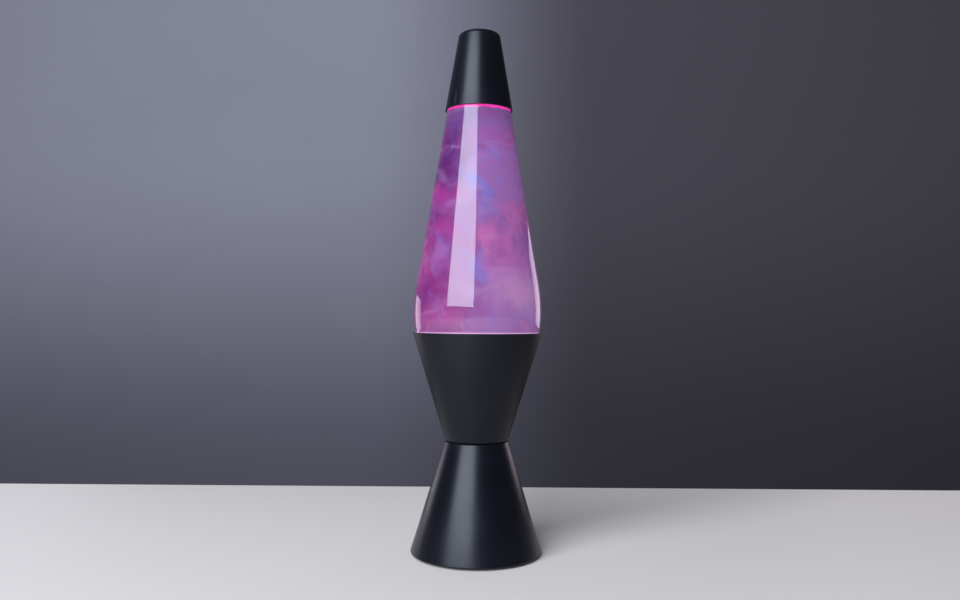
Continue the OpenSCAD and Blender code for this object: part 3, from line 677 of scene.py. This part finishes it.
# %% [markdown]
# The wear group finds edges by how sharply the surface turns there, and breaks the mask up
# with noise so that the rub comes and goes. The dust group looks at which way a surface
# faces: it collects on what lies level, in uneven patches.

# %% Build the wear and dust groups
wear_board, given, wear_out = group("edge_rub", {"Start": 0.56, "Full": 0.66, "Patch Size": 160.0},
                                    ["Mask"])
edge = wear_board.add("ShaderNodeNewGeometry").outputs["Pointiness"]
patch = wear_board.between(wear_board.noise(wear_board.place(), given["Patch Size"], 4.0, 0.65), 0.42, 0.62)
mask = wear_board.between(edge, given["Start"], given["Full"])
wear_board.set(wear_out, "Mask", wear_board.math("MULTIPLY", mask, patch))

dust_board, given, dust_out = group("settled_dust", {"Amount": 0.5, "Patch Size": 60.0}, ["Mask"])
facing = dust_board.add("ShaderNodeSeparateXYZ")
dust_board.set(facing, "Vector", dust_board.add("ShaderNodeNewGeometry").outputs["Normal"])
level = dust_board.between(facing.outputs["Z"], 0.15, 0.95)
specks = dust_board.noise(dust_board.place(), 1800.0, 2.0, 0.7)
patches = dust_board.noise(dust_board.place(), given["Patch Size"], 3.0, 0.6)
layer = dust_board.math("MULTIPLY", dust_board.between(specks, 0.5, 0.72),
                        dust_board.between(patches, 0.35, 0.7))
dust_board.set(dust_out, "Mask", dust_board.math(
    "MULTIPLY", dust_board.math("MULTIPLY", layer, level), given["Amount"]))
print("groups:", [g.name for g in bpy.data.node_groups])


# %% Helpers for a finish
def finish(name, **settings):
    """A new material, its board and its shader, with plain numbers set on the shader itself."""
    material = bpy.data.materials.new(name)
    material.use_nodes = True
    shader = material.node_tree.nodes["Principled BSDF"]
    for key, value in settings.items():
        shader.inputs[key.replace("_", " ")].default_value = value
    return material, Board(material.node_tree), shader


def use(board, name, **values):
    node = board.add("ShaderNodeGroup", {"node_tree": bpy.data.node_groups[name]})
    for key, value in values.items():
        node.inputs[key.replace("_", " ")].default_value = value
    return node.outputs


def bump(board, shader, height, strength, distance):
    node = board.add("ShaderNodeBump", Height=height, Strength=strength, Distance=distance)
    board.set(shader, "Normal", node.outputs["Normal"])


def paint(board, shader, color, rough, size, strength, distance, spread, dust, rub, clouds=28.0):
    """The common build: colour, dust and rub in the base, clouds in the roughness, grain in the bump."""
    grain = use(board, "surface_grain", Size=size, Cloud_Size=clouds)
    dark = tuple(c * 0.82 for c in color[:3]) + (1,)
    light = tuple(min(c * 1.18, 1) for c in color[:3]) + (1,)
    base = board.mix(grain["Clouds"], dark, light)
    shine = board.between(grain["Clouds"], 0, 1, rough - spread, rough + spread)
    if rub:
        worn = use(board, "edge_rub")["Mask"]
        base = board.mix(worn, base, rub)
        shine = board.math("SUBTRACT", shine, board.math("MULTIPLY", worn, 0.08))
    if dust:
        settled = use(board, "settled_dust", Amount=dust)["Mask"]
        base = board.mix(settled, base, (0.36, 0.35, 0.34, 1))
        shine = board.math("ADD", shine, board.math("MULTIPLY", settled, 0.3))
    board.set(shader, "Base Color", base)
    board.set(shader, "Roughness", shine)
    bump(board, shader, grain["Bumps"], strength, distance)


def dress(material, *pieces):
    for piece in pieces:
        piece.data.materials.clear()
        piece.data.materials.append(material)


def dress_node(material, *names):
    for name in names:
        for i in range(max(1, len(cad[name].material_slots))):
            if cad[name].material_slots:
                cad[name].material_slots[i].material = material
            else:
                cad[name].data.materials.append(material)


# %% [markdown]
# ### Satin black paint
# The metal is sprayed satin black, with a faint blue in it. Satin means a highlight that is
# wide and soft but still has a shape, so the roughness sits near a third and varies a little.
# Very fine rings from the spinning show through the paint, strongest in raking light.

# %% Make the black paint
def black_paint(name, rough):
    material, board, shader = finish(name, Specular_IOR_Level=0.26, Specular_Tint=(0.90, 0.94, 1.0, 1))
    paint(board, shader, (0.0030, 0.0034, 0.0062), rough, 1500.0, 0.08, 0.0002, 0.025, 0.05,
          (0.03, 0.03, 0.034, 1), 22.0)
    rings = board.noise(board.stretch(board.place(), (6, 6, 900)), 1.0, 3.0, 0.7)
    tilt = board.add("ShaderNodeBump", Height=rings, Strength=0.05, Distance=0.0002)
    board.set(tilt, "Normal", shader.inputs["Normal"].links[0].from_socket)
    board.set(shader, "Normal", tilt.outputs["Normal"])
    return material


dress(black_paint("satin_black_cap", 0.33), cap_shell)
dress(black_paint("satin_black_cup", 0.42), cup_shell)
dress(black_paint("satin_black_foot", 0.31), foot_shell)

# %% [markdown]
# ### Glass
# Clear thick glass: full transmission, almost no roughness, and the usual index for soda
# glass. Blown glass is never quite true, so a very low, wide bump bends reflections a little.

# %% Make the glass
glass, board, shader = finish("bottle_glass", Base_Color=(0.985, 0.975, 0.99, 1), Metallic=0.0,
                              Transmission_Weight=1.0, IOR=1.47)
waves = board.noise(board.stretch(board.place(), (1, 1, 0.45)), 26.0, 1.5, 0.4, 0.2)
bump(board, shader, waves, 0.05, 0.001)
smears = board.noise(board.place(), 70.0, 4.0, 0.6, 0.6)
board.set(shader, "Roughness", board.between(smears, 0.55, 0.8, 0.012, 0.07))
dress(glass, globe_glass)

# %% [markdown]
# ### The swirling liquid
# Tiny pearl flakes in dyed liquid line up as it moves and draw soft, drifting clouds. A plain
# noise looks like stone, so its coordinates are first pushed about by another noise, which
# gives curls. The ground runs from purple to lilac across the bottle. Twelve drifts of plum,
# magenta, pink, blue and pale dye are laid on it at given places, each a soft round mask whose
# edge the curls draw out. Three faint clouds and two soft wisps, where a stretched and tilted noise
# crosses its middle value, break them up. Thin bright rings at the cup's rim and under the cap
# stand for light that runs round the glass. The bulb shines up through it, so it glows.

# %% Make the liquid
liquid, board, shader = finish("pearl_swirl", Roughness=0.55, Specular_IOR_Level=0.2, Emission_Strength=0.62)
spot = board.place()
turn = board.add("ShaderNodeTexNoise", Vector=spot, Scale=24.0, Detail=3.5, Roughness=0.6)
centred = board.add("ShaderNodeVectorMath", {"operation": "SUBTRACT"})
board.set(centred, "0", turn.outputs["Color"])
centred.inputs[1].default_value = (0.5, 0.5, 0.5)


def pushed(amount):
    """The place of each point, pushed about by the noise as far as the amount in metres."""
    node = board.add("ShaderNodeVectorMath", {"operation": "MULTIPLY_ADD"})
    board.set(node, "0", centred.outputs[0])
    node.inputs[1].default_value = amount
    board.set(node, "2", spot)
    return node.outputs[0]


curled, eased = pushed((0.075, 0.075, 0.062)), pushed((0.022, 0.022, 0.018))


def cloud(scale, low, high, shift, shape=(1, 1, 0.8), detail=3.0, turn=(0, 0.6, 0.3)):
    node = board.add("ShaderNodeMapping")
    board.set(node, "Vector", curled)
    node.inputs["Location"].default_value = shift
    node.inputs["Rotation"].default_value = turn
    node.inputs["Scale"].default_value = shape
    return board.between(board.noise(node.outputs[0], scale, detail, 0.55, 0.4), low, high)


def wisp(scale, width, shift, turn, shape):
    """Thin drawn-out lines, where a stretched noise crosses its middle value, that come and go."""
    noise = board.noise(board.stretch(eased, shape, turn), scale, 1.0, 0.5, 0.1)
    ridge = board.math("ABSOLUTE", board.math("SUBTRACT", noise, 0.5))
    return board.math("MULTIPLY", board.between(ridge, 0.0, width, 1.0, 0.0), cloud(33, 0.46, 0.66, shift))


def puff(x, z, wide, tall):
    """One soft drift of dye about a place, with its edge drawn out by the same push."""
    node = board.add("ShaderNodeVectorMath", {"operation": "MULTIPLY_ADD"})
    board.set(node, "0", curled)
    node.inputs[1].default_value = (1 / wide, 0, 1 / tall)
    node.inputs[2].default_value = (-x / wide, 0, -z / tall)
    far = board.add("ShaderNodeVectorMath", {"operation": "LENGTH"})
    board.set(far, "0", node.outputs[0])
    return board.between(far.outputs["Value"], 1.25, 0.2)


PLUM, PURPLE = (0.120, 0.014, 0.165, 1), (0.250, 0.026, 0.210, 1)
MAGENTA, PINK = (0.400, 0.036, 0.290, 1), (0.590, 0.115, 0.340, 1)
BLUE, LILAC, PALE = (0.210, 0.175, 0.540, 1), (0.310, 0.134, 0.400, 1), (0.520, 0.270, 0.500, 1)
where = board.add("ShaderNodeSeparateXYZ")
board.set(where, "Vector", curled)
ink = board.mix(board.between(where.outputs["X"], -0.022, 0.014), PURPLE, LILAC)
for dye, strength, place in (
        (PLUM, 0.95, (-0.018, 0.286, 0.014, 0.036)), (MAGENTA, 0.85, (-0.021, 0.256, 0.015, 0.012)),
        (PLUM, 0.55, (-0.028, 0.240, 0.012, 0.011)), (MAGENTA, 0.75, (-0.019, 0.226, 0.014, 0.009)),
        (BLUE, 0.90, (0.004, 0.263, 0.009, 0.024)), (MAGENTA, 0.35, (0.011, 0.292, 0.014, 0.011)),
        (PINK, 0.62, (0.0105, 0.221, 0.016, 0.012)), (BLUE, 0.65, (0.004, 0.202, 0.013, 0.012)),
        (PINK, 0.36, (0.025, 0.206, 0.020, 0.011)), (BLUE, 0.45, (-0.020, 0.204, 0.010, 0.015)),
        (PALE, 0.70, (0.026, 0.182, 0.024, 0.018)), (PINK, 0.30, (-0.022, 0.164, 0.018, 0.010))):
    ink = board.mix(board.math("MULTIPLY", puff(*place), strength), ink, dye)
ink = board.mix(board.math("MULTIPLY", cloud(26, 0.48, 0.66, (0.3, 0.1, 0.2)), 0.35), ink, PLUM)
ink = board.mix(board.math("MULTIPLY", cloud(31, 0.50, 0.66, (5.2, 1.0, 4.4)), 0.35), ink, PINK)
ink = board.mix(board.math("MULTIPLY", cloud(40, 0.48, 0.68, (1.7, 0.4, 0.9)), 0.30), ink, BLUE)
cool_wisp = wisp(13.0, 0.050, (7.5, 3.3, 0.6), (0.30, 0.22, 0), (0.6, 0.6, 2.4))
ink = board.mix(board.math("MULTIPLY", cool_wisp, 0.30), ink, (0.480, 0.360, 0.640, 1))
warm_wisp = wisp(18.0, 0.045, (2.1, 8.3, 3.6), (-0.3, -0.50, 0.4), (0.5, 0.5, 2.0))
ink = board.mix(board.math("MULTIPLY", warm_wisp, 0.30), ink, (0.560, 0.230, 0.520, 1))
height = board.add("ShaderNodeSeparateXYZ")
board.set(height, "Vector", spot)
# Painted light: the liquid is painted lighter towards the cup's rim. Painted shade: it is painted darker
# under the cap.
low_glow = board.between(height.outputs["Z"], cup_z + 0.030, cup_z - 0.004, 0.0, 0.25)
ink = board.mix(low_glow, ink, (0.470, 0.230, 0.470, 1))
top_shade = board.between(height.outputs["Z"], cap_z0 - 0.028, cap_z0 - 0.004, 0.0, 0.45)
ink = board.mix(top_shade, ink, (0.150, 0.055, 0.200, 1))
rim_low = board.math("MULTIPLY", board.between(height.outputs["Z"], cup_z + 0.0004, cup_z + 0.0016, 1.0, 0.0),
                     board.between(height.outputs["Z"], cup_z - 0.0016, cup_z - 0.0004))
uneven = board.math("MULTIPLY_ADD", board.noise(spot, 130.0, 4.0, 0.7), 0.0034, height.outputs["Z"])
rim_top = board.math("MULTIPLY", board.between(uneven, cap_z0 - 0.0001, cap_z0 + 0.0009),
                     board.between(uneven, cap_z0 + 0.0042, cap_z0 + 0.0030))
ink = board.mix(rim_low, ink, (0.95, 0.55, 0.90, 1))
ink = board.mix(rim_top, ink, (1.35, 0.07, 0.62, 1))
board.set(shader, "Base Color", board.mix(0.5, ink, (0, 0, 0, 1)))
board.set(shader, "Emission Color", ink)
dress(liquid, swirl_liquid)

# %% [markdown]
# ### The bulb
# Below its widest ring the bulb is silvered, and above it is frosted. One mask by height
# divides them, so the metal feel and the glow share an edge, as on the real lamp.

# %% Make the bulb's finishes
bulb_finish, board, shader = finish("reflector_bulb", Emission_Strength=1.2)
height = board.add("ShaderNodeSeparateXYZ")
board.set(height, "Vector", board.place())
front = board.between(height.outputs["Z"], bulb_high.z - 0.0085, bulb_high.z - 0.0075)
grain = use(board, "surface_grain", Size=2200.0, Cloud_Size=60.0)
board.set(shader, "Base Color", board.mix(front, (0.80, 0.80, 0.80, 1), (0.86, 0.82, 0.78, 1)))
board.set(shader, "Metallic", board.math("SUBTRACT", 1.0, front))
board.set(shader, "Roughness", board.math("ADD", board.math("MULTIPLY", front, 0.4),
                                         board.between(grain["Clouds"], 0, 1, 0.10, 0.18)))
board.set(shader, "Emission Color", board.mix(front, (0, 0, 0, 1), (1.0, 0.62, 0.36, 1)))
bump(board, shader, grain["Bumps"], 0.08, 0.0002)
dress(bulb_finish, bulb_shell)

# %% [markdown]
# ### Metals, plastics and rubber
# The hidden parts have the finishes that such parts are sold in: zinc-plated steel with a
# mottled shine, brass that has dulled in places, cream lampholder plastic, coloured
# insulation, and black rubber and plastic with a moulded texture.

# %% Make the metals
def metal(name, color, rough, size=1200.0, dust=0.15, clouds=90.0, rub=None, spread=0.08):
    material, board, shader = finish(name, Metallic=1.0)
    paint(board, shader, color, rough, size, 0.12, 0.0002, spread, dust, rub, clouds)
    return material


def plastic(name, color, rough, size=700.0, strength=0.15, dust=0.2, sheen=0.0):
    material, board, shader = finish(name, Specular_IOR_Level=0.5, Sheen_Weight=sheen)
    paint(board, shader, color, rough, size, strength, 0.0003, 0.06, dust,
          tuple(min(c * 1.6 + 0.01, 1) for c in color) + (1,))
    return material


zinc = metal("zinc_plate", (0.52, 0.54, 0.57), 0.34, rub=(0.75, 0.76, 0.78, 1))
brass = metal("dulled_brass", (0.66, 0.46, 0.18), 0.32, rub=(0.86, 0.66, 0.32, 1))
plated = metal("plated_crown", (0.72, 0.73, 0.75), 0.20, 900.0, 0.25, 50.0)
bulb_alloy = metal("bulb_cap_alloy", (0.66, 0.67, 0.68), 0.30)
solder = metal("solder", (0.50, 0.51, 0.53), 0.38, 500.0)
wire = metal("lead_in_wire", (0.45, 0.45, 0.47), 0.3)
dress(plated, crown)
dress_node(zinc, "lamp_bracket", "waist_screws", "waist_nuts", "terminal_screws", "hollow_screw",
           "star_washer", "hollow_screw_nut", "earth_tag", "block_screws", "block_fixing_screw",
           "cover_screws")
dress_node(brass, "lampholder_shell", "lampholder_tongue", "lampholder_terminals", "earth_screw",
           "block_tubes")
dress_node(bulb_alloy, "bulb_screw_cap")
dress_node(solder, "bulb_tip")
dress_node(wire, "bulb_wires", "bulb_filament")

# %% Make the plastics, the rubber and the inner glass
cream = plastic("holder_cream", (0.74, 0.70, 0.60), 0.38)
dress_node(cream, "terminal_block")
dress(cream, holder_body, holder_bell)
dress_node(plastic("liner_white", (0.75, 0.75, 0.72), 0.5), "crown_liner")
dress_node(plastic("live_brown", (0.16, 0.06, 0.03), 0.42), "live_lead")
dress_node(plastic("neutral_blue", (0.03, 0.12, 0.40), 0.42), "neutral_lead")
dress_node(plastic("earth_green", (0.20, 0.42, 0.04), 0.42), "earth_lead")
dress_node(plastic("insulator_black", (0.012, 0.012, 0.016), 0.18), "bulb_insulator")
cover_plastic = plastic("cover_black", (0.016, 0.016, 0.018), 0.55, 420.0, 0.5)
dress(cover_plastic, cover)
dress(plastic("bushing_black", (0.014, 0.014, 0.015), 0.48, 800.0, 0.3), bushing)
dress(plastic("pad_rubber", (0.022, 0.022, 0.022), 0.72, 600.0, 0.5, 0.4, 0.2), *pads)
stem, board, shader = finish("stem_glass", Base_Color=(0.93, 0.96, 0.96, 1), Metallic=0.0,
                             Transmission_Weight=1.0, IOR=1.5)
swell = board.noise(board.place(), 300.0, 2.0)
bump(board, shader, swell, 0.1, 0.0005)
board.set(shader, "Roughness", board.between(swell, 0.3, 0.7, 0.02, 0.08))
dress_node(stem, "bulb_stem")

# %% [markdown]
# ## The stage
# The lamp stands on a plain pale table against a dark wall, which has painted light: a lit patch
# on its left, stronger higher up, and darker paint towards the bottom. Table and wall matter to
# the lamp's look: the cup faces down and mirrors the table, and the black cones mirror the wall.

# %% Set the table and the wall
def board_plane(name, size, location, rotation=(0, 0, 0)):
    deselect()
    bpy.ops.mesh.primitive_plane_add(size=1, location=location, rotation=rotation)
    plane = bpy.context.object
    plane.name, plane.scale = name, (size[0], size[1], 1)
    return plane


TABLE_DEPTH, TABLE_BACK = 2.231, 0.2305
table_top = board_plane("table_top", (4.0, TABLE_DEPTH), (0, TABLE_BACK - TABLE_DEPTH / 2, 0))
wall = board_plane("wall", (7.0, 4.0), (0, 1.6, 0.6), (math.pi / 2, 0, 0))
stone, board, shader = finish("table_finish", Roughness=0.6, Specular_IOR_Level=0.3)
board.set(shader, "Base Color", board.mix(board.noise(board.place(), 6.0, 4.0), (0.69, 0.645, 0.595, 1),
                                          (0.73, 0.685, 0.63, 1)))
dress(stone, table_top)
wall_mottle_and_light, board, shader = finish("wall_mottle_and_painted_light", Roughness=0.9, Specular_IOR_Level=0.1)
across = board.add("ShaderNodeSeparateXYZ")
board.set(across, "Vector", board.place())
# Painted light: the wall is painted lit on its left, more so higher up, and darker towards the bottom. A
# faint random mottle lies over it.
left = board.between(across.outputs["X"], 0.045, -0.045)
high = board.between(across.outputs["Y"], -0.22, 0.0, 0.3, 1.0)
WALL_LOW, WALL_HIGH = (0.032, 0.030, 0.036, 1), (0.088, 0.078, 0.090, 1)
WALL_LIT, WALL_MOTTLE = (0.325, 0.318, 0.375, 1), (0.10, 0.098, 0.12, 1)
tone = board.mix(board.math("MULTIPLY", left, high), board.mix(high, WALL_LOW, WALL_HIGH), WALL_LIT)
mottle = board.math("MULTIPLY", board.noise(board.place(), 9.0, 3.0), 0.2)
board.set(shader, "Base Color", board.mix(mottle, tone, WALL_MOTTLE))
dress(wall_mottle_and_light, wall)

# %% [markdown]
# ## The light
# One tall softbox stands to the left of the camera and above it. It draws the long sharp band
# on the glass and the soft bands on the cap and the foot. It starts well above the table, so
# the cup, which leans the other way, stays even and dark. Two small weak panels behind the
# lamp, left and right, draw the thin lines at the edges of the glass.

# %% Place the lights
def softbox(name, azimuth, height, distance, size, power, color, aim_height):
    """An area light at an angle from the camera's side, turned to face the lamp."""
    a = math.radians(azimuth)
    lamp = bpy.data.lights.new(name, "AREA")
    lamp.shape, lamp.size, lamp.size_y = "RECTANGLE", size[0], size[1]
    lamp.energy, lamp.color = power, color
    holder = bpy.data.objects.new(name, lamp)
    bpy.context.collection.objects.link(holder)
    holder.location = (math.sin(a) * distance, -math.cos(a) * distance, height)
    holder.rotation_mode = "QUATERNION"
    holder.rotation_quaternion = (Vector((0, 0, aim_height)) - holder.location).to_track_quat("-Z", "Y")
    holder.visible_camera = False


softbox("tall_softbox", -30.5, 1.10, 1.50, (1.42, 1.62), 74, (0.82, 0.88, 1.0), 0.85)
softbox("right_panel", 137, 0.26, 1.10, (0.44, 0.38), 0.95, (1.0, 0.88, 0.97), 0.26)
softbox("left_panel", -132, 0.13, 1.10, (0.46, 0.27), 0.75, (0.97, 0.90, 1.0), 0.13)

world = bpy.data.worlds.new("room")
bpy.context.scene.world = world
world.use_nodes = True
background = world.node_tree.nodes["Background"]
background.inputs["Color"].default_value = (0.19, 0.20, 0.235, 1)
background.inputs["Strength"].default_value = 0.5

# %% [markdown]
# ## The camera
# The camera looks level along +Y from about 60 cm, a little below half the lamp's height. It
# isn't tipped up: a small upward shift of the lens puts the whole lamp in the frame, so upright
# edges stay upright. It is rolled by less than half a degree, as a hand-held camera is.

# %% Set the camera
lens = bpy.data.cameras.new("camera")
camera = bpy.data.objects.new("camera", lens)
bpy.context.collection.objects.link(camera)
camera.location = (0.0018, -0.607, 0.169)
camera.rotation_euler = (math.pi / 2, math.radians(-0.42), 0)
lens.sensor_width, lens.lens, lens.shift_y = 36.0, 32.07, 0.0151
lens.clip_start, lens.clip_end = 0.01, 50
bpy.context.scene.camera = camera
bpy.context.scene.view_settings.view_transform = "Standard"
